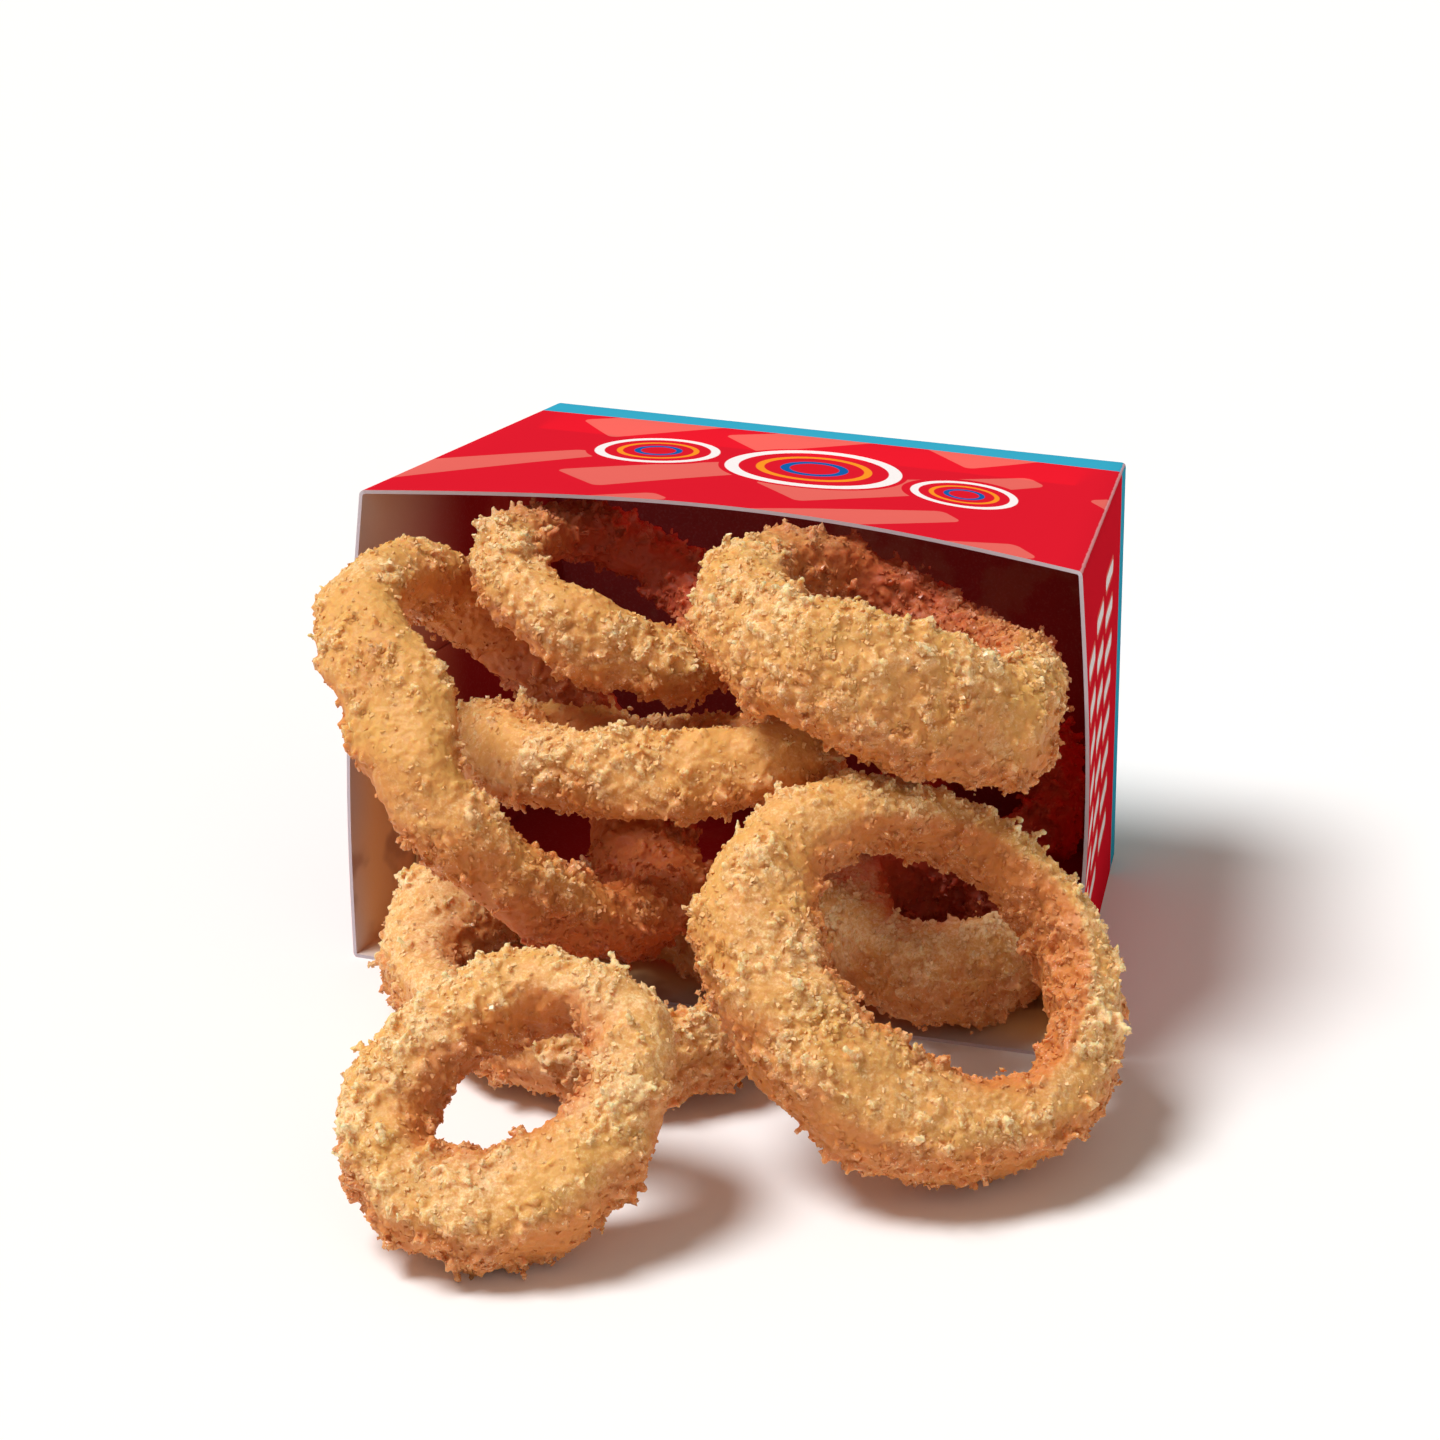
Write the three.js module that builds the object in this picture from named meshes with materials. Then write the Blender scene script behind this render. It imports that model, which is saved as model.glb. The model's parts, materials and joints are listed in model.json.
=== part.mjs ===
// Onion rings side: a tapered paperboard carton lying on one broad panel, with breaded onion rings
// spilling out of its mouth. Millimetres, +Z up. The mouth faces -Y, and the floor is z = 0.

import * as THREE from "three";
import { mergeVertices } from "three/addons/utils/BufferGeometryUtils.js";

// ---------------------------------------------------------------- driving sizes: the carton

const MOUTH_WIDTH = 120;
const MOUTH_HEIGHT = 79;
const BASE_WIDTH = 99;
const BASE_HEIGHT = 70;
const CARTON_DEPTH = 70;
const BOARD = 0.6; // thickness of the paperboard
const UPPER_SETBACK = 6; // the upper panel is shorter than the lower one by this much
const SCOOP = 12; // how far the hollow cut goes back into the upper panel's edge
const TONGUE = 1; // how far the lower panel's edge swells forward
const LEFT_BOW = 1.8; // how far the left, right and upper panels belly out at the mouth
const RIGHT_BOW = 2.6;
const UPPER_BOW = 1;
const PANEL_STEPS = 10; // facets across each panel
const CARTON_ROWS = 8; // facets from the base to the mouth

// ---------------------------------------------------------------- driving sizes: the rings

const RING_STEPS = 52; // facets round a ring
const SECTION_SIDES = 12; // facets round its section
const CRAG = 0.5; // mean height of the crust's waves
const GRIT = 0.35; // and of the loose crumbs on them
const SECTION_POWER = 0.8; // under 1 makes the section squarer than an ellipse

// Each ring is across by along in its own plane, thick radially and high along its axis. The axis is
// tipped from +Z by lean degrees towards the compass direction facing (0 is +X, 90 is +Y), and spin
// turns the ring in its own plane. saddle bends two opposite sides up by that much. heavy makes the
// downhill side thicker by that fraction, and the uphill side thinner.
const RINGS = {
  ring_flat_front: { across: 74, along: 58, thick: 12.5, high: 15, at: [-14, -12, 9.5],
    lean: 0, facing: 0, spin: -22, saddle: 0.4, heavy: 0, seed: 11 },
  ring_left_standing: { across: 77, along: 69, thick: 11.5, high: 14.5, at: [-26.3, -9.7, 45.7],
    lean: 48.5, facing: 7, spin: 0, saddle: 1, heavy: 0, seed: 23 },
  ring_small_front: { across: 54, along: 46, thick: 15.5, high: 17, at: [-5, -70.4, 20.6],
    lean: 39, facing: -85, spin: 46, saddle: 1, heavy: 0.15, seed: 37 },
  ring_big_right: { across: 70, along: 61, thick: 14.5, high: 19, at: [43.8, -30.4, 28.9],
    lean: 44, facing: -40, spin: -6, saddle: 1, heavy: 0.2, seed: 41 },
  ring_middle: { across: 63, along: 39, thick: 12.5, high: 14.5, at: [-5.3, -6.9, 46.7],
    lean: 20, facing: 105, spin: 0, saddle: 1.5, heavy: 0, seed: 53 },
  ring_top_left: { across: 47, along: 42, thick: 11.5, high: 10, at: [-17.3, 9, 64.4],
    lean: 25, facing: 5, spin: 0, saddle: 1, heavy: 0, seed: 67 },
  ring_top_right: { across: 59, along: 54, thick: 14, high: 19.5, at: [29.2, 2.5, 64.6],
    lean: 22, facing: 32, spin: 0, saddle: 1, heavy: 0, seed: 71 },
  ring_floor_right: { across: 42, along: 45, thick: 13, high: 18, at: [35, 17, 11.8],
    lean: 5, facing: 0, spin: 0, saddle: 0.4, heavy: 0, seed: 83 },
  ring_back_right: { across: 36, along: 33, thick: 12, high: 13, at: [32, 54, 16],
    lean: 40, facing: -90, spin: 0, saddle: 1, heavy: 0, seed: 97 },
};

// ---------------------------------------------------------------- helpers

// The same run of numbers from 0 to 1 for the same seed.
function seeded(seed) {
  let state = seed >>> 0;
  return () => {
    state = (state + 0x6d2b79f5) >>> 0;
    let mixed = Math.imul(state ^ (state >>> 15), 1 | state);
    mixed = (mixed + Math.imul(mixed ^ (mixed >>> 7), 61 | mixed)) ^ mixed;
    return ((mixed ^ (mixed >>> 14)) >>> 0) / 2 ** 32;
  };
}

const radians = THREE.MathUtils.degToRad;
const blend = THREE.MathUtils.lerp;
const rounded = (value) => Math.sign(value) * Math.abs(value) ** SECTION_POWER;

// A wave round a closed loop, about -1 to 1: a few harmonics with seeded sizes and phases.
function loopWave(random, lowest, highest) {
  const terms = [];
  for (let count = lowest; count <= highest; count++) {
    terms.push({ count, phase: 2 * Math.PI * random(), size: 0.6 + 0.4 * random() });
  }
  const scale = 1 / Math.sqrt(terms.length);
  return (angle) =>
    scale * terms.reduce((sum, term) => sum + term.size * Math.cos(term.count * angle + term.phase), 0);
}

// A closed triangle mesh from a list of points and a list of quads that index them.
function meshFromQuads(points, quads) {
  const geometry = new THREE.BufferGeometry().setFromPoints(points);
  geometry.setIndex(quads.flatMap(([a, b, c, d]) => [a, b, c, a, c, d]));
  return mergeVertices(geometry);
}

// ---------------------------------------------------------------- the breaded rings

function ringGeometry(spec) {
  const random = seeded(spec.seed);
  const thickness = loopWave(random, 2, 5);
  const height = loopWave(random, 2, 4);
  const outline = loopWave(random, 2, 3);
  const crags = Array.from({ length: 14 }, () => ({
    round: 3 + Math.floor(random() * 16),
    over: Math.floor(random() * 5) - 2,
    phase: 2 * Math.PI * random(),
  }));
  const middleAcross = (spec.across - spec.thick) / 2;
  const middleAlong = (spec.along - spec.thick) / 2;
  const points = [];
  const quads = [];
  for (let i = 0; i < RING_STEPS; i++) {
    const round = (2 * Math.PI * i) / RING_STEPS;
    const heaviness = spec.heavy * Math.cos(round + radians(spec.spin - spec.facing));
    const halfThick = (spec.thick / 2) * (1 + heaviness + 0.1 * thickness(round));
    const halfHigh = (spec.high / 2) * (1 + 0.3 * heaviness + 0.07 * height(round));
    const swell = 1 + 0.025 * outline(round);
    const lift = spec.saddle * Math.cos(2 * round);
    for (let j = 0; j < SECTION_SIDES; j++) {
      const over = (2 * Math.PI * j) / SECTION_SIDES;
      const waves = crags.reduce((sum, c) => sum + Math.cos(c.round * round + c.over * over + c.phase), 0);
      const relief = (CRAG * waves) / Math.sqrt(crags.length) + GRIT * (2 * random() - 1);
      const out = (halfThick + relief) * rounded(Math.cos(over));
      const up = (halfHigh + relief) * rounded(Math.sin(over));
      points.push(new THREE.Vector3(
        (middleAcross * swell + out) * Math.cos(round),
        (middleAlong * swell + out) * Math.sin(round),
        up + lift,
      ));
      const nextRound = (i + 1) % RING_STEPS;
      const nextOver = (j + 1) % SECTION_SIDES;
      quads.push([
        i * SECTION_SIDES + j,
        nextRound * SECTION_SIDES + j,
        nextRound * SECTION_SIDES + nextOver,
        i * SECTION_SIDES + nextOver,
      ]);
    }
  }
  return meshFromQuads(points, quads);
}

function ring(name, spec) {
  const crust = new THREE.MeshStandardMaterial({ color: 0xdba660, roughness: 0.6, metalness: 0 });
  const mesh = new THREE.Mesh(ringGeometry(spec), crust);
  mesh.name = name;
  const turn = (x, y, z, degrees) =>
    new THREE.Quaternion().setFromAxisAngle(new THREE.Vector3(x, y, z), radians(degrees));
  mesh.quaternion
    .copy(turn(0, 0, 1, spec.facing))
    .multiply(turn(0, 1, 0, spec.lean))
    .multiply(turn(0, 0, 1, spec.spin - spec.facing));
  mesh.position.set(...spec.at);
  return mesh;
}

// ---------------------------------------------------------------- the carton

const RISE = (MOUTH_HEIGHT - BASE_HEIGHT) / 2;
const SLANT = Math.hypot(RISE, CARTON_DEPTH); // length of the lower panel
const TILT = Math.atan2(RISE, CARTON_DEPTH); // the mouth leans back by this much

// A point of the carton's wall, inset from its outer face. panel is 0 lower, 1 right, 2 upper, 3 left,
// across runs from 0 to 1 over it, and reach runs from 0 at the base to 1 at the panel's own cut edge.
function wallPoint(panel, across, reach, inset) {
  const arch = Math.sin(Math.PI * across);
  const cut = [
    1 + (TONGUE * arch) / SLANT,
    1 - (UPPER_SETBACK * across) / SLANT,
    1 - (UPPER_SETBACK + SCOOP * arch) / SLANT,
    1 - (UPPER_SETBACK * (1 - across)) / SLANT,
  ][panel];
  const start = inset / SLANT;
  const run = start + (cut - start) * reach;
  const halfWidth = blend(BASE_WIDTH, MOUTH_WIDTH, run) / 2 - inset;
  const height = blend(BASE_HEIGHT, MOUTH_HEIGHT, run);
  const belly = arch * run * run;
  const side = blend(-halfWidth, halfWidth, across);
  const level = blend(inset, height - inset, across);
  const [x, h] = [
    [side, inset],
    [halfWidth + RIGHT_BOW * belly, level],
    [-side, height - inset + UPPER_BOW * belly],
    [-halfWidth - LEFT_BOW * belly, height - level],
  ][panel];
  return new THREE.Vector3(x, SLANT * (1 - run) + h * Math.sin(TILT), h * Math.cos(TILT));
}

function cartonGeometry() {
  const points = [];
  const quads = [];
  const perimeter = 4 * PANEL_STEPS;
  const skin = perimeter * (CARTON_ROWS + 1);
  for (const inset of [0, BOARD]) {
    for (let row = 0; row <= CARTON_ROWS; row++) {
      for (let step = 0; step < perimeter; step++) {
        const panel = Math.floor(step / PANEL_STEPS);
        points.push(wallPoint(panel, (step % PANEL_STEPS) / PANEL_STEPS, row / CARTON_ROWS, inset));
      }
    }
  }
  for (let step = 0; step < perimeter; step++) {
    const next = (step + 1) % perimeter;
    for (let row = 0; row < CARTON_ROWS; row++) {
      const [a, b] = [row * perimeter + step, row * perimeter + next];
      quads.push([a, b, b + perimeter, a + perimeter]);
      quads.push([skin + a, skin + a + perimeter, skin + b + perimeter, skin + b]);
    }
    const rim = CARTON_ROWS * perimeter;
    quads.push([rim + step, rim + next, skin + rim + next, skin + rim + step]);
  }
  // Each skin's base is a fan round a middle point.
  for (const [first, flip] of [[0, false], [skin, true]]) {
    const middle = points.length;
    const corner = points[first].clone().add(points[first + 2 * PANEL_STEPS]).multiplyScalar(0.5);
    points.push(corner);
    for (let step = 0; step < perimeter; step += 2) {
      const [a, b, c] = [step, step + 1, (step + 2) % perimeter].map((place) => first + place);
      quads.push(flip ? [middle, a, b, c] : [middle, c, b, a]);
    }
  }
  return meshFromQuads(points, quads);
}

function carton() {
  const board = new THREE.MeshStandardMaterial({ color: 0xe01b30, roughness: 0.45, metalness: 0 });
  const mesh = new THREE.Mesh(cartonGeometry(), board);
  mesh.name = "carton";
  return mesh;
}

// ---------------------------------------------------------------- the whole

const group = new THREE.Group();
group.add(carton());
for (const [name, spec] of Object.entries(RINGS)) group.add(ring(name, spec));

// The origin is under the middle of the whole, on the floor.
const bounds = new THREE.Box3().setFromObject(group, true);
const origin = bounds.getCenter(new THREE.Vector3()).setZ(bounds.min.z);
for (const piece of group.children) piece.position.sub(origin);
export default group;
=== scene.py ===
"""Onion rings side: a printed paperboard carton on its side, and the breaded rings that spill from it.

The carton is bent from one grid of board, and each ring is a battered body coated with crumbs.
Lengths in the settings are millimetres, and every object is in metres.
"""

import json
import math
import random

import bpy
from mathutils import Matrix, Vector

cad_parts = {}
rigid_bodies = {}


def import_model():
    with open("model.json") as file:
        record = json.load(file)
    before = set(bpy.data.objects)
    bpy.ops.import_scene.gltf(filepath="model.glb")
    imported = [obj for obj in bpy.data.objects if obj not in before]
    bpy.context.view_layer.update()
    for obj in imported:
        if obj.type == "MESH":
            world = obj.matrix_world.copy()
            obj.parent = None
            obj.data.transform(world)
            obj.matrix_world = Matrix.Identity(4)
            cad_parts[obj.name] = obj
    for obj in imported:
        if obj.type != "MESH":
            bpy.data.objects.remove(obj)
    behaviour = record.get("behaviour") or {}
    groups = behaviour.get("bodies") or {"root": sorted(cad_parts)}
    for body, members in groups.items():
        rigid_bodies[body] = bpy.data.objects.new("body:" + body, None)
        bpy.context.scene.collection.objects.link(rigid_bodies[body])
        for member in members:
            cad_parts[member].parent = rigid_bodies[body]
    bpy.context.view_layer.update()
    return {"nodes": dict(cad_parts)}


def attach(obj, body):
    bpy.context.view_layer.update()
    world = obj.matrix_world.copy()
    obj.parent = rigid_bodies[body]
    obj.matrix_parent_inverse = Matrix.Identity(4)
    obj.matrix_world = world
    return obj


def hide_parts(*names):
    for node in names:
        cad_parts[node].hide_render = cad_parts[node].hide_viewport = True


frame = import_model()
MM = 0.001
TAU = 2 * math.pi

# ---------------------------------------------------------------- settings: the carton

MOUTH_WIDTH, MOUTH_HEIGHT = 120, 79
BASE_WIDTH, BASE_HEIGHT = 99, 70
CARTON_DEPTH = 70
BOARD = 0.6
UPPER_SETBACK, SCOOP, TONGUE = 6, 12, 1
LEFT_BOW, RIGHT_BOW, UPPER_BOW = 1.8, 2.6, 1
CARTON_MIDDLE = (-7.474, 9.486)  # middle of the mouth's lower edge
PANEL_COLUMNS, PANEL_ROWS = 28, 36
FOLD_RADIUS = 0.7
# The glue lap inside the left panel: how deep its face lies, and its corners across and along.
LAP_INSET = BOARD + 0.55
LAP_CORNERS = ((0.44, 0.01), (0.44, 0.68), (0.985, 0.74), (0.985, 0.01))
LAP_THICKNESS, LAP_BEVEL = 0.45, 0.12
WELD = 0.01  # points nearer than this become one
ON_BASE, ON_FOLD = 0.02, 0.05  # how near a point of the base or of a fold lies to it
LOWER, RIGHT, UPPER, LEFT = range(4)
RISE = (MOUTH_HEIGHT - BASE_HEIGHT) / 2
SLANT = math.hypot(RISE, CARTON_DEPTH)
TILT = math.atan2(RISE, CARTON_DEPTH)

# ---------------------------------------------------------------- settings: the print

SIDES_NARROWER = 35  # than the upper and lower panels, halfway to the mouth
BAND = 7  # height of the band round the base
INK_EDGE, LINE_EDGE = 0.12, 0.1  # half the width over which an area or a fine line fades
BAR_LEAN = math.radians(40)
BAR_ROW, BAR_CELL = 18.5, 72  # pitch of the bars over and along their slant
BAR_HALF, BAR_LONGER = 17, 10  # half a short bar, and what half a long one has more
BAR_FAT, BAR_TAPER, BAR_CORNER = 3.7, 0.095, 1.6
BAR_STEP_ALONG, BAR_STEP_OVER, BAR_START = 17, 9, 4  # from each panel to the next, and at first
MOTIFS = ((-4, 33, 14), (-31, 37, 8.5), (24, 30, 9.5))  # middle and radius of each
MOTIF_MARGIN, MOTIF_FULL = 2.2, 14  # the plain red round each, and the radius with whole lines
STROKE_COLUMN, STROKE_ROW = 17, 6.4  # pitch of the strokes on the right panel
STROKE_HALF, STROKE_STAGGER = 5.2, 2

# ---------------------------------------------------------------- settings: the rings

# tone browns the crust, pale lightens its crumbs, bare is the share of it that shows smooth batter,
# a fourth setting is the height below which it is painted darker as shade, and seed sets its crumbs.
RINGS = {
    "ring_flat_front": {"tone": 0.22, "pale": 0.28, "bare": 0.35, "seed": 3},
    "ring_left_standing": {"tone": 0.48, "bare": 0.45, "shade_below": 47, "seed": 5},
    "ring_small_front": {"tone": 0.06, "pale": 0.32, "bare": 0.40, "seed": 7},
    "ring_big_right": {"tone": 0.30, "pale": 0.12, "bare": 0.40, "seed": 11},
    "ring_middle": {"tone": 0.10, "bare": 0.45, "seed": 13},
    "ring_top_left": {"tone": 0.15, "bare": 0.25, "seed": 17},
    "ring_top_right": {"tone": 0.38, "bare": 0.20, "seed": 19},
    # ring_floor_right has paler crumbs and little browning as painted light, against the shade it lies
    # in.
    "ring_floor_right": {"tone": 0.05, "pale": 0.4, "bare": 0.30, "seed": 23},
    "ring_back_right": {"tone": 0.60, "bare": 0.25, "seed": 29},
}
# No painted shade from below, for rings without that setting.
NO_SHADE_BELOW = -50
SINK = 0.9  # the battered body lies this far inside the solid's face
BATTER_LUMPS = ((9, 1.0), (3.5, 0.6))  # size and height of the body's unevenness
VOXEL, QUICK_COARSER = 0.42, 1.5  # fineness at which the coat is fused
COAT_SIZES, GRAIN_SIZES = (0.65, 1.3), (0.55, 1.45)  # least and most scale of what is strewn
STORED = ("crumb_height", "crumb_hollow", "crumb_turned")
GRAINS_PER_CM2 = 58
# What is fused into the coat, by kind: how many lumps make one, the length of each lump, how far
# apart they lie, how flat they are, how far their outline is roughened, and how many there are per
# square centimetre. The grain is strewn over the fused coat.
CRUMBS = {
    "cluster": {"lumps": 9, "length": 1.35, "apart": 1.5, "flat": 0.7, "rough": 0.35, "per_cm2": 3.5},
    "clump": {"lumps": 7, "length": 1.0, "apart": 0.85, "flat": 0.7, "rough": 0.35, "per_cm2": 18},
    "crumb": {"lumps": 3, "length": 0.9, "apart": 0.5, "flat": 0.65, "rough": 0.35, "per_cm2": 48},
    "flake": {"lumps": 1, "length": 2.3, "apart": 0, "flat": 0.35, "rough": 0.45, "per_cm2": 3},
}
LOWEST_GRAIN = 0.9  # no loose grain lies nearer the table
SQUEEZED_FROM, DEEPEST, TABLE_GAP = 0.6, 1.0, 0.02  # heights over and below the table
GRAIN = {"length": 0.7, "flat": 0.62, "rough": 0.32}
# Where a ring is fuller, thinner or wider than its plain form: a middle, the reach of the whole
# move, the reach of its fading end, and the move.
PULLS = {
    "ring_left_standing": (
        ((-57, -11, 72), 0, 24, (-3, -1, 0)),
        ((-43, -18, 69), 0, 17, (4.6, 1.6, 0)),
        ((-39, -21, 63), 0, 14, (2.8, 1, 0)),
        ((-20, 14, 24), 0, 15, (-5.5, -1.9, 0)),
    ),
    "ring_top_left": (
        ((-27, 5, 70), 0, 14, (-0.4, 1.4, 3.2)),
        ((-20, 3, 68), 0, 13, (-0.4, 1.4, 3.2)),
        ((-14, 6, 65), 0, 13, (-0.4, 1.2, 2.8)),
        ((-25, 36, 68), 10, 26, (0, 8, -1)),
        ((-41.5, 28, 73), 0, 14, (0.4, 0, -2.4)),
    ),
    "ring_top_right": (
        ((32, -7, 74), 0, 16, (-0.4, 1.5, 3.3)),
        ((23, -7, 77), 0, 14, (-0.4, 1.2, 2.4)),
        ((40, -5, 71), 0, 15, (-0.4, 1.4, 3)),
        ((47, 2, 55), 0, 16, (3.2, -0.7, -3.7)),
    ),
    "ring_big_right": (((36.3, -20.9, 28.9), 20, 31, (4.7, 1.6, 0)),),
    "ring_flat_front": (
        ((-50, 4, 17), 0, 17, (-1.4, 1.1, 4.2)),
        ((-44, 3, 12), 0, 17, (7.5, 0, 2.6)),
        ((-37, 4, 12), 0, 15, (6, 0.5, 2)),
    ),
}
SHAPES_PER_CRUMB = 6
# How light scatters under the surface: its reach by colour, the unit of that reach, and its share in
# the coat and in the loose grains, which are paler instead.
SCATTER_REACH, SCATTER_UNIT = (1.0, 0.6, 0.36), 1.6 * MM
COAT_SCATTER, GRAIN_SCATTER = 0.8, 0.0
GRAIN_LIFT = 0.3

# ---------------------------------------------------------------- settings: light and view

# Each sun: the azimuth and elevation it shines from, its spread, and its power.
SUNS = {"key": (-62, 64, 24, 2.95), "fill": (40, 32, 50, 0.22)}
# Each glow that comes through a panel of board: its place, turn, size and brightness.
GLOWS = {
    "roof_glow": ((-8, 58, 71.5), (4, 0, 0), (92, 42), 0.2),
    "base_glow": ((-8, 80, 37), (-90, 0, 0), (88, 58), 0.6),
    "right_glow": ((43, 50, 36), (0, 90, 8), (56, 50), 0.16),
}
GLOW_RED = (1, 0.012, 0.02)
SKY, SKY_STRENGTH = (1, 0.84, 0.7, 1), 0.25
FLOOR_SIZE, FLOOR_SHADE = 6, 0.94
VIEW_AZIMUTH, VIEW_ELEVATION, VIEW_ROLL = 19.4, 25.2, -1.4
VIEW_TARGET, VIEW_AWAY = (-16.15, 46.41, 32.68), 817.85
LENS, FILM = 125, 36


def srgb(red, green, blue):
    """A colour given from 0 to 255, as linear red, green, blue and alpha."""
    linear = [
        value / 255 / 12.92 if value <= 10 else ((value / 255 + 0.055) / 1.055) ** 2.4
        for value in (red, green, blue)
    ]
    return (*linear, 1.0)


RED = srgb(218, 28, 46)
CORAL = srgb(228, 104, 96)
CYAN = srgb(54, 168, 200)
WHITE = srgb(244, 240, 240)
ORANGE = srgb(246, 150, 40)
BLUE = srgb(20, 96, 170)
CREASE = srgb(238, 176, 180)
BOARD_EDGE = srgb(198, 186, 196)
BOARD_INSIDE = srgb(196, 186, 186)
# Painted shade on the unprinted inside: tan further in and dark red in the depths.
BOARD_SHADE = srgb(242, 204, 146)
BOARD_DEEP_PAINTED_SHADE = srgb(142, 48, 52)
GREASE = srgb(150, 110, 88)
BATTER = srgb(228, 169, 95)
BATTER_BARE = srgb(230, 175, 96)
CRUMB_PALE = srgb(255, 226, 174)
GLINT = srgb(255, 240, 208)
CREVICE_PAINTED_SHADE = srgb(216, 136, 74)
BROWNED = srgb(200, 112, 54)
TURNED_PAINTED_SHADE = srgb(208, 118, 52)
DEEP_PAINTED_SHADE = srgb(170, 46, 32)
LOW_PAINTED_SHADE = srgb(188, 84, 30)
SPECK = srgb(134, 66, 28)
# The circles of a motif: share of its radius, half width of the line, and ink.
MOTIF_LINES = ((1, 1.15, WHITE), (0.66, 0.7, ORANGE), (0.36, 0.8, BLUE))
STROKE_INKS = ((1.9, CORAL), (1.15, WHITE))  # half width of the edging, then of the stroke

# ---------------------------------------------------------------- node trees


class Wire:
    """A node's output socket, with arithmetic that adds Math nodes to its tree."""

    def __init__(self, nodes, socket):
        self.nodes, self.socket = nodes, socket

    def maths(self, operation, *values):
        return self.nodes.add("ShaderNodeMath", {"operation": operation}, values)

    def __add__(self, other):
        return self.maths("ADD", self, other)

    def __sub__(self, other):
        return self.maths("SUBTRACT", self, other)

    def __mul__(self, other):
        return self.maths("MULTIPLY", self, other)

    def __truediv__(self, other):
        return self.maths("DIVIDE", self, other)

    def __mod__(self, other):
        return self.maths("FLOORED_MODULO", self, other)

    def __rsub__(self, other):
        return self.maths("SUBTRACT", other, self)

    def __abs__(self):
        return self.maths("ABSOLUTE", self)

    __radd__, __rmul__ = __add__, __mul__

    def __gt__(self, other):
        return self.maths("GREATER_THAN", self, other)

    def __lt__(self, other):
        return self.maths("LESS_THAN", self, other)

    def floor(self):
        return self.maths("FLOOR", self)

    def most(self, other):
        return self.maths("MAXIMUM", self, other)

    def length(self, other):
        """Length of the hypotenuse over this and other."""
        return self.maths("SQRT", self * self + other * other)

    def ramp(self, low, high):
        """0 below low, 1 above high, and smooth between."""
        settings = {"interpolation_type": "SMOOTHSTEP"}
        return self.nodes.add("ShaderNodeMapRange", settings, (self, low, high, 0.0, 1.0))

    def within(self, edge):
        """1 below zero and 0 above, fading over the width of edge on both sides."""
        return self.ramp(edge, -edge)

    def out(self, name):
        """Another output of the same node."""
        return Wire(self.nodes, self.socket.node.outputs[name])


class Nodes:
    """A node tree that is written as calls and expressions."""

    def __init__(self, tree):
        self.tree = tree
        tree.nodes.clear()

    def add(self, kind, settings=None, values=(), **named):
        """A node of that kind with its settings, its first sockets in order, and others by name."""
        node = self.tree.nodes.new(kind)
        for name, value in (settings or {}).items():
            setattr(node, name, value)
        for place, value in [*enumerate(values), *named.items()]:
            socket = node.inputs[place if isinstance(place, int) else place.replace("_", " ")]
            if isinstance(value, Wire):
                self.tree.links.new(value.socket, socket)
            else:
                socket.default_value = value
        return Wire(self, next(o for o in node.outputs if o.enabled)) if node.outputs else node

    def mix(self, share, first, second):
        """The first colour, going to the second as share goes from 0 to 1."""
        node = self.add("ShaderNodeMix", {"data_type": "RGBA"}, (share,)).socket.node
        for socket, value in ((node.inputs[6], first), (node.inputs[7], second)):
            if isinstance(value, Wire):
                self.tree.links.new(value.socket, socket)
            else:
                socket.default_value = value
        return Wire(self, node.outputs[2])

    def noise(self, place, scale, detail=2.0, roughness=0.55):
        """Noise from 0 to 1, with scale as its waves per metre."""
        return self.add(
            "ShaderNodeTexNoise", None, Vector=place, Scale=scale, Detail=detail, Roughness=roughness
        )

    def parts(self, vector):
        """The x, y and z of a vector."""
        split = self.add("ShaderNodeSeparateXYZ", None, (vector,))
        return split, split.out("Y"), split.out("Z")


def material(name, **fixed):
    """A new material, its nodes, and its Principled shader with the fixed socket values."""
    made = bpy.data.materials.new(name)
    made.use_nodes = True
    nodes = Nodes(made.node_tree)
    shader = nodes.add("ShaderNodeBsdfPrincipled", None, **fixed).socket.node
    output = nodes.add("ShaderNodeOutputMaterial")
    made.node_tree.links.new(shader.outputs["BSDF"], output.inputs["Surface"])

    def dress(**changing):
        for socket, value in changing.items():
            made.node_tree.links.new(value.socket, shader.inputs[socket.replace("_", " ")])

    return made, nodes, dress


# ---------------------------------------------------------------- modelling helpers


def pick(piece):
    """Leaves that piece alone selected and active."""
    for other in bpy.context.selected_objects:
        other.select_set(False)
    piece.select_set(True)
    bpy.context.view_layer.objects.active = piece


def named(name):
    """The object that an operator has just added, under its own name."""
    piece = bpy.context.active_object
    piece.name = piece.data.name = name
    return piece


def edit(piece, *steps):
    """Runs edit mode steps on the whole piece."""
    pick(piece)
    bpy.ops.object.mode_set(mode="EDIT")
    bpy.ops.mesh.select_all(action="SELECT")
    for step in steps:
        step()
    bpy.ops.object.mode_set(mode="OBJECT")


def finish_with(piece, kind, **settings):
    """Adds one modifier to a piece and applies it."""
    pick(piece)
    modifier = piece.modifiers.new(kind.lower(), kind)
    for name, value in settings.items():
        setattr(modifier, name, value)
    bpy.ops.object.modifier_apply(modifier=modifier.name)


def select_parts(piece, vertices=None, edges=None):
    """Selects vertices or edges, in object mode, by a test on their place."""
    pick(piece)
    mesh = piece.data
    for group in (mesh.vertices, mesh.edges, mesh.polygons):
        group.foreach_set("select", [False] * len(group))
    if vertices:
        for vertex in mesh.vertices:
            vertex.select = vertices(vertex.co)
    if edges:
        for edge in mesh.edges:
            edge.select = edges(*(mesh.vertices[i].co for i in edge.vertices))


def ride_and_fill(piece, slot, *nodes):
    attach(piece, "root")
    if nodes:
        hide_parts(*nodes)


# ---------------------------------------------------------------- the carton


def blend(low, high, share):
    return low + (high - low) * share


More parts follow.
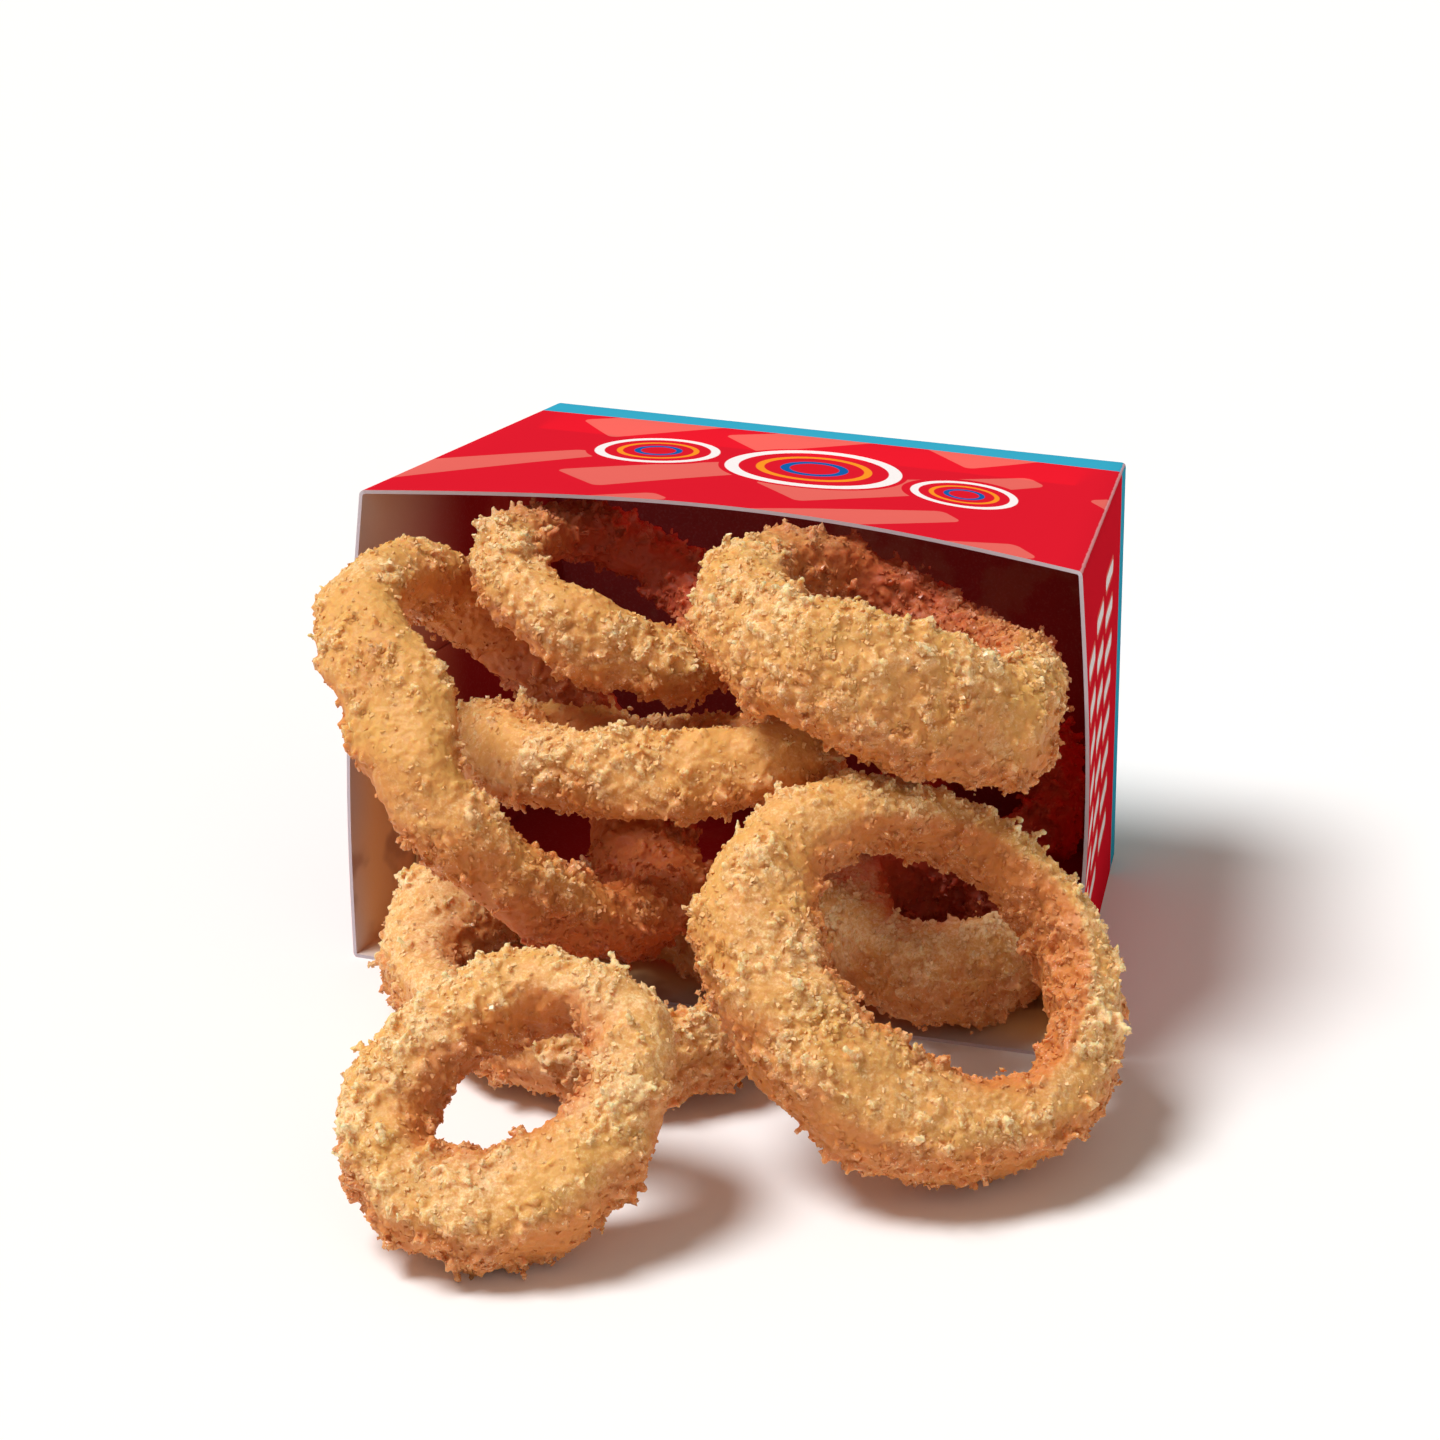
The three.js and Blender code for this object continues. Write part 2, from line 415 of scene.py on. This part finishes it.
def wall_point(panel, across, reach, inset=0.0):
    """A point of the carton's wall in metres: across is 0 to 1 over a panel, reach 0 at the base to 1
    at the panel's cut edge, and inset its depth from the outer face."""
    arch = math.sin(math.pi * across)
    cut = (
        1 + TONGUE * arch / SLANT,
        1 - UPPER_SETBACK * across / SLANT,
        1 - (UPPER_SETBACK + SCOOP * arch) / SLANT,
        1 - UPPER_SETBACK * (1 - across) / SLANT,
    )[panel]
    run = blend(inset / SLANT, cut, reach)
    half_width = blend(BASE_WIDTH, MOUTH_WIDTH, run) / 2 - inset
    height = blend(BASE_HEIGHT, MOUTH_HEIGHT, run)
    belly = arch * run * run
    side = blend(-half_width, half_width, across)
    level = blend(inset, height - inset, across)
    x, rise = (
        (side, inset),
        (half_width + RIGHT_BOW * belly, level),
        (-side, height - inset + UPPER_BOW * belly),
        (-half_width - LEFT_BOW * belly, height - level),
    )[panel]
    place = (
        x + CARTON_MIDDLE[0],
        SLANT * (1 - run) + rise * math.sin(TILT) + CARTON_MIDDLE[1],
        rise * math.cos(TILT),
    )
    return Vector(place) * MM


def fold_line(panel):
    """The base and mouth ends of the fold where a panel starts."""
    return wall_point(panel, 0, 0), wall_point(panel, 0, 1)


def near_line(point, line, reach):
    start, end = line
    along = (end - start).normalized()
    return ((point - start) - along * (point - start).dot(along)).length < reach


def carton_shell():
    """The walls and base, bent from one grid whose map runs round the panels and up them."""
    bpy.ops.mesh.primitive_grid_add(
        x_subdivisions=4 * PANEL_COLUMNS, y_subdivisions=PANEL_ROWS, size=1
    )
    shell = named("carton_board")
    for vertex in shell.data.vertices:
        turn = (vertex.co.x + 0.5) * 4
        panel = min(int(turn + 1e-4), LEFT)
        vertex.co = wall_point(panel, turn - panel, vertex.co.y + 0.5)
    edit(shell, lambda: bpy.ops.mesh.remove_doubles(threshold=WELD * MM))
    base_plane = [wall_point(panel, 0, 0) for panel in range(3)]
    normal = (base_plane[1] - base_plane[0]).cross(base_plane[2] - base_plane[0]).normalized()

    def on_base(point):
        return abs((point - base_plane[0]).dot(normal)) < ON_BASE * MM

    select_parts(shell, vertices=on_base)
    bpy.ops.object.mode_set(mode="EDIT")
    bpy.ops.mesh.edge_face_add()
    bpy.ops.mesh.select_all(action="SELECT")
    bpy.ops.mesh.normals_make_consistent(inside=False)
    bpy.ops.object.mode_set(mode="OBJECT")

    folds = [fold_line(panel) for panel in range(4)]

    def on_fold(start, end):
        if on_base(start) and on_base(end):
            return True
        reach = ON_FOLD * MM
        return any(near_line(start, line, reach) and near_line(end, line, reach) for line in folds)

    select_parts(shell, edges=on_fold)
    bpy.ops.object.mode_set(mode="EDIT")
    bpy.ops.mesh.bevel(offset=FOLD_RADIUS * MM, segments=3)
    bpy.ops.object.mode_set(mode="OBJECT")
    for paint in (printed_board(), bare_board(), cut_board()):
        shell.data.materials.append(paint)
    finish_with(
        shell, "SOLIDIFY", thickness=BOARD * MM, offset=-1, use_even_offset=True,
        material_offset=1, material_offset_rim=2,
    )
    pick(shell)
    bpy.ops.object.shade_smooth_by_angle(angle=math.radians(35))
    return shell


def board_strip(name, corners, paint):
    """A thin board through four corners of its face, with its thickness behind them."""
    bpy.ops.mesh.primitive_grid_add(x_subdivisions=12, y_subdivisions=4, size=1)
    strip = named(name)
    for vertex in strip.data.vertices:
        across, up = vertex.co.x + 0.5, vertex.co.y + 0.5
        low = corners[0].lerp(corners[1], across)
        high = corners[3].lerp(corners[2], across)
        vertex.co = low.lerp(high, up)
    strip.data.materials.append(paint)
    finish_with(strip, "SOLIDIFY", thickness=LAP_THICKNESS * MM, offset=-1)
    finish_with(strip, "BEVEL", width=LAP_BEVEL * MM, segments=2)
    return strip


def on_panel(panel, number):
    """1 on one panel and 0 on the others."""
    return (panel < number + 0.5) * (panel > number - 0.5)


def printed_bars(nodes, panel, x, y):
    """Where the slanting bars are: of uneven length, fatter to one end, and round at the corners."""
    along = x * math.cos(BAR_LEAN) + y * math.sin(BAR_LEAN) + panel * BAR_STEP_ALONG
    over = y * math.cos(BAR_LEAN) - x * math.sin(BAR_LEAN) + panel * BAR_STEP_OVER + BAR_START
    row = (over / BAR_ROW).floor()
    shift = nodes.add("ShaderNodeTexWhiteNoise", {"noise_dimensions": "1D"}, W=row + 3)
    slid = along + shift * BAR_CELL
    cell = (slid / BAR_CELL).floor()
    size = nodes.add("ShaderNodeTexWhiteNoise", {"noise_dimensions": "1D"}, W=cell * 7 + row)
    in_row = over - (row + 0.5) * BAR_ROW
    in_cell = slid - (cell + 0.5) * BAR_CELL
    half = BAR_HALF + BAR_LONGER * size
    fat = BAR_FAT + in_cell * BAR_TAPER
    outside = (abs(in_cell) - half).most(0).length((abs(in_row) - fat).most(0))
    return (outside - BAR_CORNER).within(INK_EDGE)


def printed_strokes(x, y):
    """Three columns of eight short strokes: where they are, and how far their middle line is."""
    column = (y / STROKE_COLUMN).floor()
    stagger = x + (column - 2) * STROKE_STAGGER
    row = (stagger / STROKE_ROW).floor()
    there = (column > 0.5) * (column < 3.5) * (abs(row + 0.5) < 4.2)
    past_end = (abs(y - (column + 0.5) * STROKE_COLUMN) - STROKE_HALF).most(0)
    return there, past_end.length(stagger - (row + 0.5) * STROKE_ROW)


def printed_board():
    """Red print with coral bars, a cyan band round the base, pale worn folds and ring motifs."""
    paint, nodes, dress = material("printed_board", Specular_IOR_Level=0.0)
    around, up, _ = nodes.parts(nodes.add("ShaderNodeUVMap"))
    place = nodes.add("ShaderNodeTexCoord").out("Object")
    turn = around * 4
    panel = turn.floor()
    width = blend(BASE_WIDTH, MOUTH_WIDTH, 0.5) - SIDES_NARROWER * (panel % 2)
    x = (turn - panel - 0.5) * width
    y = up * SLANT
    on_right, on_upper = on_panel(panel, RIGHT), on_panel(panel, UPPER)

    colour = nodes.mix(printed_bars(nodes, panel, x, y) * (1 - on_right), RED, CORAL)
    for middle_x, middle_y, radius in MOTIFS:
        reach = (x - middle_x).length(y - middle_y)
        plain = on_upper * (reach - radius - MOTIF_MARGIN).within(LINE_EDGE)
        colour = nodes.mix(plain, colour, RED)
        for share, half_line, ink in MOTIF_LINES:
            from_line = abs(reach - radius * share)
            line = (from_line - half_line * radius / MOTIF_FULL).within(LINE_EDGE)
            colour = nodes.mix(on_upper * line, colour, ink)
    there, reach = printed_strokes(x, y)
    for half_width, ink in STROKE_INKS:
        stroke = on_right * there * (reach - half_width).within(INK_EDGE)
        colour = nodes.mix(stroke, colour, ink)
    colour = nodes.mix(y < BAND, colour, CYAN)

    fold = 0.5 * width - abs(x)
    worn = nodes.noise(place, 700, 3)
    creased = (fold - 0.25 - worn * 0.35).within(INK_EDGE) * y.ramp(0.4, 0.9)
    colour = nodes.mix(creased * 0.75, colour, CREASE)
    sag = nodes.noise(place, 28, 1) + nodes.noise(place, 1600, 2) * 0.012
    bump = nodes.add("ShaderNodeBump", None, Strength=0.25, Distance=0.0012, Height=sag)
    rough = 0.3 + nodes.noise(place, 90, 2) * 0.14
    dress(Base_Color=colour, Roughness=rough, Normal=bump)
    return paint


def bare_board():
    """The unprinted inside: grey-white by the mouth, with painted shade browner and redder in the
    depths, greasy.
    """
    paint, nodes, dress = material("bare_board", Specular_IOR_Level=0.35)
    place = nodes.add("ShaderNodeTexCoord").out("Object")
    _, depth, height = nodes.parts(place)
    inward = depth - height * 0.14 - 0.0095
    # Painted shade: tan further in from the mouth, greyer higher up, and dark red deepest in the
    # carton.
    near = (inward + nodes.noise(place, 30, 2) * 0.006).ramp(0.001, 0.011)
    shade_tan = nodes.mix(height.ramp(0.03, 0.065) * 0.7, BOARD_SHADE, BOARD_INSIDE)
    colour = nodes.mix(near, BOARD_INSIDE, shade_tan)
    colour = nodes.mix(inward.ramp(0.012, 0.036), colour, BOARD_DEEP_PAINTED_SHADE)
    oil = nodes.noise(place, 55, 3, 0.6).ramp(0.56, 0.66) * 0.55
    colour = nodes.mix(oil, colour, GREASE)
    fibre = nodes.noise(place, 2400, 3)
    colour = nodes.mix((fibre - 0.5) * 0.25, colour, WHITE)
    bump = nodes.add("ShaderNodeBump", None, Strength=0.2, Distance=0.0001, Height=fibre)
    dress(Base_Color=colour, Roughness=0.72 - oil * 0.35, Normal=bump)
    return paint


def cut_board():
    """The cut edge of the board, pale with a greyish lilac cast."""
    paint, nodes, dress = material("cut_board", Specular_IOR_Level=0.3)
    place = nodes.add("ShaderNodeTexCoord").out("Object")
    fibre = nodes.noise(place, 1500, 4, 0.7)
    colour = nodes.mix(fibre.ramp(0.35, 0.7) * 0.4, BOARD_EDGE, BOARD_INSIDE)
    bump = nodes.add("ShaderNodeBump", None, Strength=0.4, Distance=0.0001, Height=fibre)
    dress(Base_Color=colour, Roughness=0.75 + fibre * 0.1, Normal=bump)
    return paint


def build_carton():
    shell = carton_shell()
    ride_and_fill(shell, "printed_board", "carton")
    corners = [wall_point(LEFT, across, reach, LAP_INSET) for across, reach in LAP_CORNERS]
    lap = board_strip("carton_glue_lap", corners, bpy.data.materials["bare_board"])
    ride_and_fill(lap, "printed_board")


# ---------------------------------------------------------------- the breaded rings


def roughened(shape, draw, length, flat, rough, middle=(0, 0, 0)):
    """Turns a unit shape into a small flattened lump of uneven outline."""
    turn = Matrix.Rotation(draw.uniform(0, TAU), 3, Vector([draw.gauss(0, 1) for _ in range(3)]))
    half = length * draw.uniform(0.7, 1.3) / 2
    for vertex in shape.data.vertices:
        point = vertex.co * (1 + draw.uniform(-1, 1) * rough)
        point.z *= flat
        vertex.co = (turn @ point * half + Vector(middle)) * MM


def crumb_shapes():
    """One collection of small shapes for each kind of crumb."""
    shapes = {kind: bpy.data.collections.new(kind) for kind in (*CRUMBS, "grain")}
    for number in range(SHAPES_PER_CRUMB):
        for kind, crumb in CRUMBS.items():
            draw = random.Random(f"{kind}{number}")
            lumps = []
            for _ in range(crumb["lumps"]):
                middle = [draw.gauss(0, 0.6) * crumb["apart"] for _ in range(3)]
                bpy.ops.mesh.primitive_ico_sphere_add(subdivisions=1, radius=1)
                lumps.append(named(f"{kind}_{number}"))
                roughened(lumps[-1], draw, crumb["length"], crumb["flat"], crumb["rough"], middle)
            pick(lumps[0])
            for lump in lumps:
                lump.select_set(True)
            if len(lumps) > 1:
                bpy.ops.object.join()
            keep_in(lumps[0], shapes[kind])
        bpy.ops.mesh.primitive_cube_add(size=1.5)
        grain = named(f"grain_{number}")
        roughened(grain, random.Random(number), GRAIN["length"], GRAIN["flat"], GRAIN["rough"])
        keep_in(grain, shapes["grain"])
    return shapes


def keep_in(shape, collection):
    shape.users_collection[0].objects.unlink(shape)
    collection.objects.link(shape)


def pull(piece, middle, near, far, move):
    """Moves the part of a piece round a middle: all of it up to near, and none from far on."""
    for vertex in piece.data.vertices:
        away = (vertex.co - Vector(middle) * MM).length / MM
        share = min(max((far - away) / (far - near), 0), 1)
        vertex.co += Vector(move) * MM * share * share * (3 - 2 * share)


def new_geometry_tree(name):
    """A geometry tree, its nodes, and the geometry that comes in."""
    tree = bpy.data.node_groups.new(name, "GeometryNodeTree")
    for way in ("INPUT", "OUTPUT"):
        tree.interface.new_socket("Geometry", in_out=way, socket_type="NodeSocketGeometry")
    nodes = Nodes(tree)
    return tree, nodes, nodes.add("NodeGroupInput")


def strewn(nodes, surface, shapes, density, sizes, seed):
    """Shapes of one collection strewn over a surface and made real."""
    points = nodes.add(
        "GeometryNodeDistributePointsOnFaces", {"distribute_method": "RANDOM"},
        Mesh=surface, Density=density, Seed=seed,
    )
    kinds = nodes.add("GeometryNodeCollectionInfo", None, (shapes, True, True))
    spin = nodes.add(
        "FunctionNodeRandomValue", {"data_type": "FLOAT_VECTOR"},
        Min=(0, 0, 0), Max=(TAU, TAU, TAU), Seed=seed + 1,
    )
    size = nodes.add(
        "FunctionNodeRandomValue", {"data_type": "FLOAT_VECTOR"},
        Min=(sizes[0],) * 3, Max=(sizes[1],) * 3, Seed=seed + 2,
    )
    placed = nodes.add(
        "GeometryNodeInstanceOnPoints", None,
        Points=points, Instance=kinds, Pick_Instance=True, Rotation=spin, Scale=size,
    )
    return nodes.add("GeometryNodeRealizeInstances", None, (placed,))


def joined(nodes, *pieces):
    join = nodes.add("GeometryNodeJoinGeometry")
    for piece in reversed(pieces):
        nodes.tree.links.new(piece.socket, join.socket.node.inputs[0])
    return join


def crumbed(nodes, place, bare):
    """Where a body is crumbed thickly, from 0 to 1: everywhere but on its bare patches."""
    return nodes.noise(place, 75, 2).ramp(0.28 + 0.34 * bare, 0.42 + 0.34 * bare)


def coat_tree(shapes, bare, seed):
    """Geometry nodes that cover a body with crumbs, fewest on its bare patches."""
    tree, nodes, body = new_geometry_tree("crumb_coat")
    place = nodes.add("GeometryNodeInputPosition")
    patches = crumbed(nodes, place, bare)
    coats = [body]
    for number, kind in enumerate(CRUMBS):
        density = (0.06 + 0.94 * patches) * (CRUMBS[kind]["per_cm2"] * 10_000)
        own_seed = seed * 10 + number * 3
        coats.append(strewn(nodes, body, shapes[kind], density, COAT_SIZES, own_seed))
    nodes.add("NodeGroupOutput", None, (joined(nodes, *coats),))
    return tree


def above_table(nodes, coat):
    """Squeezes the lowest crumbs, which would reach below the table, into the height over it."""
    x, y, z = nodes.parts(nodes.add("GeometryNodeInputPosition"))
    share = (SQUEEZED_FROM - TABLE_GAP) / (SQUEEZED_FROM + DEEPEST)
    squeezed = z * share + (SQUEEZED_FROM * (1 - share)) * MM
    pressed = nodes.add("ShaderNodeCombineXYZ", None, (x, y, z.most(squeezed).most(TABLE_GAP * MM)))
    return nodes.add("GeometryNodeSetPosition", None, Geometry=coat, Position=pressed)


def store_heights(nodes, coat, body):
    """Stores each point's height over the body, how far it lies below its neighbourhood, and how far
    the body there is turned down or to the ring's own middle."""
    solid = nodes.add("GeometryNodeObjectInfo", None, (body,)).out("Geometry")
    height = nodes.add("GeometryNodeProximity", None, (solid,)).out("Distance") * 1000
    blurred = nodes.add("GeometryNodeBlurAttribute", {"data_type": "FLOAT"}, (height,), Iterations=6)
    normal = nodes.add(
        "GeometryNodeSampleNearestSurface", {"data_type": "FLOAT_VECTOR"},
        Mesh=solid, Value=nodes.add("GeometryNodeInputNormal"),
    )
    places = [vertex.co for vertex in body.data.vertices]
    middle = sum(places, Vector()) / len(places)
    place = nodes.add("GeometryNodeInputPosition")
    to_middle = nodes.add("ShaderNodeVectorMath", {"operation": "SUBTRACT"}, (tuple(middle), place))
    to_middle = nodes.add("ShaderNodeVectorMath", {"operation": "NORMALIZE"}, (to_middle,))
    inner = nodes.add("ShaderNodeVectorMath", {"operation": "DOT_PRODUCT"}, (normal, to_middle))
    _, _, up = nodes.parts(normal)
    turned = (inner.out("Value") * 0.85).most(0.1 - up * 0.9).ramp(-0.55, 0.65)
    for name, value in zip(STORED, (height, blurred - height, turned)):
        coat = nodes.add(
            "GeometryNodeStoreNamedAttribute", None, Geometry=coat, Name=name, Value=value
        )
    return coat


def roughen_tree(body):
    """Geometry nodes that make the fused coat's face granular."""
    tree, nodes, coat = new_geometry_tree("crumb_finish")
    place = nodes.add("GeometryNodeInputPosition")
    normal = nodes.add("GeometryNodeInputNormal")
    rough = (nodes.noise(place, 800, 3, 0.65) - 0.5) * 1.5 * MM
    offset = nodes.add("ShaderNodeVectorMath", {"operation": "SCALE"}, (normal,), Scale=rough)
    coat = nodes.add("GeometryNodeSetPosition", None, Geometry=coat, Offset=offset)
    nodes.add("NodeGroupOutput", None, (store_heights(nodes, above_table(nodes, coat), body),))
    return tree


def grain_tree(shapes, body, bare, seed):
    """Geometry nodes that leave only loose grains strewn over a fused coat."""
    tree, nodes, coat = new_geometry_tree("loose_grains")
    place = nodes.add("GeometryNodeInputPosition")
    off_table = nodes.parts(place)[2] > LOWEST_GRAIN * MM
    density = (0.25 + 0.75 * crumbed(nodes, place, bare)) * off_table * (GRAINS_PER_CM2 * 10_000)
    grains = strewn(nodes, coat, shapes["grain"], density, GRAIN_SIZES, seed)
    nodes.add("NodeGroupOutput", None, (store_heights(nodes, above_table(nodes, grains), body),))
    return tree


def crust(name, look, lift, scatter):
    """Fried crumb: golden batter, pale crumb tips, orange painted shade in crevices, browned areas,
    painted glints and dark specks.
    """
    paint, nodes, dress = material(
        name, Subsurface_Weight=scatter, Subsurface_Radius=SCATTER_REACH,
        Subsurface_Scale=SCATTER_UNIT, Specular_IOR_Level=0.4, Coat_Roughness=0.2, IOR=1.45,
    )
    tone, shade_below = look["tone"], look.get("shade_below", NO_SHADE_BELOW)
    lift = lift + look.get("pale", 0)
    place = nodes.add("ShaderNodeTexCoord").out("Object")
    height, hollow, turned = (
        nodes.add("ShaderNodeAttribute", {"attribute_name": stored}).out("Fac") for stored in STORED
    )

    # Small uneven cells, each with a chance value of its own, and noise from fine to broad.
    stir = nodes.noise(place, 1500, 2).out("Color")
    stirred = nodes.add(
        "ShaderNodeVectorMath", {"operation": "MULTIPLY_ADD"}, (stir, (0.0006,) * 3, place)
    )
    cells = nodes.add("ShaderNodeTexVoronoi", None, Vector=stirred, Scale=1250)
    each, other, third = nodes.parts(cells.out("Color"))
    fine = nodes.noise(place, 2600, 3, 0.65)
    mottle = nodes.noise(place, 330, 3, 0.6)
    drift = nodes.noise(place, 85, 2, 0.5)

    # Batter with pale crumbs on it, and orange painted shade where it turns inward or down.
    colour = nodes.mix((drift - 0.42) * 3, BATTER, BATTER_BARE)
    mixed = each * 0.55 + (fine - 0.5) * 2.4 + (mottle - 0.5) * 1.4 - (drift - 0.5) * 1.6
    # Raised crumb tips paler: partly painted highlight from their height, partly the crumbs' own
    # uneven tone.
    pale = (height * 0.4 + mixed + lift).ramp(0.25, 1.55)
    colour = nodes.mix(pale * 0.85, colour, CRUMB_PALE)
    # Painted shade on the undersides and inner walls of the ring.
    colour = nodes.mix((turned + (mottle - 0.5) * 0.5).ramp(0.0, 0.9) * 0.78, colour, TURNED_PAINTED_SHADE)
    # Painted shade in the crevices, where crumbs lie below their neighbours.
    crevice_shade = (hollow * 0.9 + (other - 0.5) * 0.4 + (cells - 0.45) * 0.5).ramp(0.05, 0.65)
    colour = nodes.mix(crevice_shade * 0.45, colour, CREVICE_PAINTED_SHADE)
    patch = nodes.noise(place, 60, 3, 0.55)
    fried = (patch + (third - 0.5) * 0.12).ramp(0.64 - 0.22 * tone, 0.82 - 0.2 * tone)
    colour = nodes.mix(fried * (0.25 + 0.4 * tone), colour, BROWNED)

    # Painted shade: orange on a ring's lower part, and dark red on what lies deep in the carton.
    _, depth, rise = nodes.parts(place)
    shade_edge = (mottle - 0.5) * 12 * MM
    low = (shade_below * MM - rise + shade_edge).ramp(0, 26 * MM) * 0.8
    deep_shade = (depth + shade_edge).ramp(12 * MM, 36 * MM)
    colour = nodes.mix(low, colour, LOW_PAINTED_SHADE)
    colour = nodes.mix(deep_shade * 0.8, colour, DEEP_PAINTED_SHADE)

    # Painted glints on high crumb tips, none in the painted shade, and a few dark specks.
    glint_share = nodes.noise(place, 3300, 1).ramp(0.64, 0.72) * height.ramp(0.2, 0.8)
    colour = nodes.mix(glint_share * (1 - deep_shade.most(low)) * 0.6, colour, GLINT)
    dark = nodes.noise(place, 300, 2).ramp(0.68, 0.74) * nodes.noise(place, 34, 1).ramp(0.48, 0.6)
    colour = nodes.mix(dark * 0.45, colour, SPECK)
    lumps = fine * 0.5 + (1 - cells) * 0.7
    bump = nodes.add("ShaderNodeBump", None, Strength=0.3, Distance=0.0004, Height=lumps)
    dress(
        Base_Color=colour,
        Roughness=0.48 + each * 0.22,
        Coat_Weight=0.04 + 0.5 * (other > 0.7) * height.ramp(0.5, 1.1),
        Normal=bump,
    )
    return paint


def copy_of(piece, name):
    copy = bpy.data.objects.new(name, piece.data.copy())
    bpy.context.scene.collection.objects.link(copy)
    return copy


def build_ring(name, look, shapes):
    """A ring: the solid's form smoothed and sunk a little, made uneven, coated, fused and painted,
    with loose grains over it."""
    piece = copy_of(frame["nodes"][name], "crust_" + name)
    edit(
        piece,
        lambda: bpy.ops.mesh.remove_doubles(threshold=WELD * MM),
        lambda: bpy.ops.mesh.tris_convert_to_quads(),
    )
    for stroke in PULLS.get(name, ()):
        pull(piece, *stroke)
    finish_with(piece, "SUBSURF", levels=2, render_levels=2)
    finish_with(piece, "DISPLACE", strength=-SINK * MM, mid_level=0.0)
    for size, strength in BATTER_LUMPS:
        lumps = bpy.data.textures.new("batter_lumps", "CLOUDS")
        lumps.noise_scale = size * MM
        finish_with(piece, "DISPLACE", texture=lumps, strength=strength * MM, mid_level=0.5)
    body = copy_of(piece, "body")
    finish_with(piece, "NODES", node_group=coat_tree(shapes, look["bare"], look["seed"]))
    coarser = 1
    finish_with(piece, "REMESH", mode="VOXEL", voxel_size=VOXEL * coarser * MM)
    finish_with(piece, "NODES", node_group=roughen_tree(body))
    grains = copy_of(piece, "grains_" + name)
    finish_with(grains, "NODES", node_group=grain_tree(shapes, body, look["bare"], look["seed"]))
    bpy.data.objects.remove(body)
    pick(piece)
    bpy.ops.object.shade_smooth()
    pick(grains)
    bpy.ops.object.shade_flat()
    for part, lift, scatter in (
        (piece, 0.0, COAT_SCATTER), (grains, GRAIN_LIFT, GRAIN_SCATTER),
    ):
        part.data.materials.clear()
        part.data.materials.append(crust(part.name, look, lift, scatter))
        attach(part, "root")
    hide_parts(name)


# ---------------------------------------------------------------- stage, light and camera


def build_stage():
    bpy.ops.mesh.primitive_plane_add(size=FLOOR_SIZE)
    floor = named("floor")
    paint, nodes, dress = material("pale_floor", Roughness=0.9, Specular_IOR_Level=0.1)
    place = nodes.add("ShaderNodeTexCoord").out("Object")
    shade = nodes.noise(place, 3, 1) * 0.01 + FLOOR_SHADE
    dress(Base_Color=nodes.add("ShaderNodeCombineColor", None, (shade, shade, shade)))
    floor.data.materials.append(paint)

    world = bpy.data.worlds.new("studio")
    bpy.context.scene.world = world
    world.use_nodes = True
    nodes = Nodes(world.node_tree)
    sky = nodes.add("ShaderNodeBackground", None, Color=SKY, Strength=SKY_STRENGTH)
    nodes.add("ShaderNodeOutputWorld", None, (sky,))


def build_view():
    turn = (
        Matrix.Rotation(math.radians(VIEW_AZIMUTH), 4, "Z")
        @ Matrix.Rotation(math.pi / 2 - math.radians(VIEW_ELEVATION), 4, "X")
        @ Matrix.Rotation(math.radians(VIEW_ROLL), 4, "Z")
    )
    target = Vector(VIEW_TARGET) * MM
    away = turn @ Vector((0, 0, VIEW_AWAY * MM))
    lens = bpy.data.cameras.new("view")
    lens.lens, lens.sensor_width = LENS, FILM
    camera = bpy.data.objects.new("view", lens)
    bpy.context.scene.collection.objects.link(camera)
    camera.matrix_world = Matrix.Translation(target + away) @ turn
    bpy.context.scene.camera = camera


def add_sun(name, azimuth, elevation, spread, power):
    bpy.ops.object.light_add(type="SUN")
    sun = named(name)
    sun.data.energy, sun.data.angle = power, math.radians(spread)
    sun.rotation_euler = (math.radians(90 - elevation), 0, math.radians(azimuth))


def add_glow(name, place, turn, size, brightness):
    """Red light that comes through one panel of the board, as a rectangle just inside it."""
    bpy.ops.object.light_add(type="AREA", location=[value * MM for value in place])
    glow = named(name)
    glow.rotation_euler = [math.radians(angle) for angle in turn]
    glow.data.shape = "RECTANGLE"
    glow.data.size, glow.data.size_y = (value * MM for value in size)
    glow.data.energy = brightness * math.pi * glow.data.size * glow.data.size_y
    glow.data.color = GLOW_RED
    glow.visible_camera = False


def build_lights():
    for name, settings in SUNS.items():
        add_sun(name, *settings)
    for name, settings in GLOWS.items():
        add_glow(name, *settings)


# ---------------------------------------------------------------- the whole

build_view()
build_stage()
build_lights()
build_carton()
crumbs = crumb_shapes()
for ring_name, ring_look in RINGS.items():
    build_ring(ring_name, ring_look, crumbs)
for collection in crumbs.values():
    for leftover in list(collection.objects):
        bpy.data.objects.remove(leftover)
    bpy.data.collections.remove(collection)
bpy.context.scene.view_settings.view_transform = "Standard"
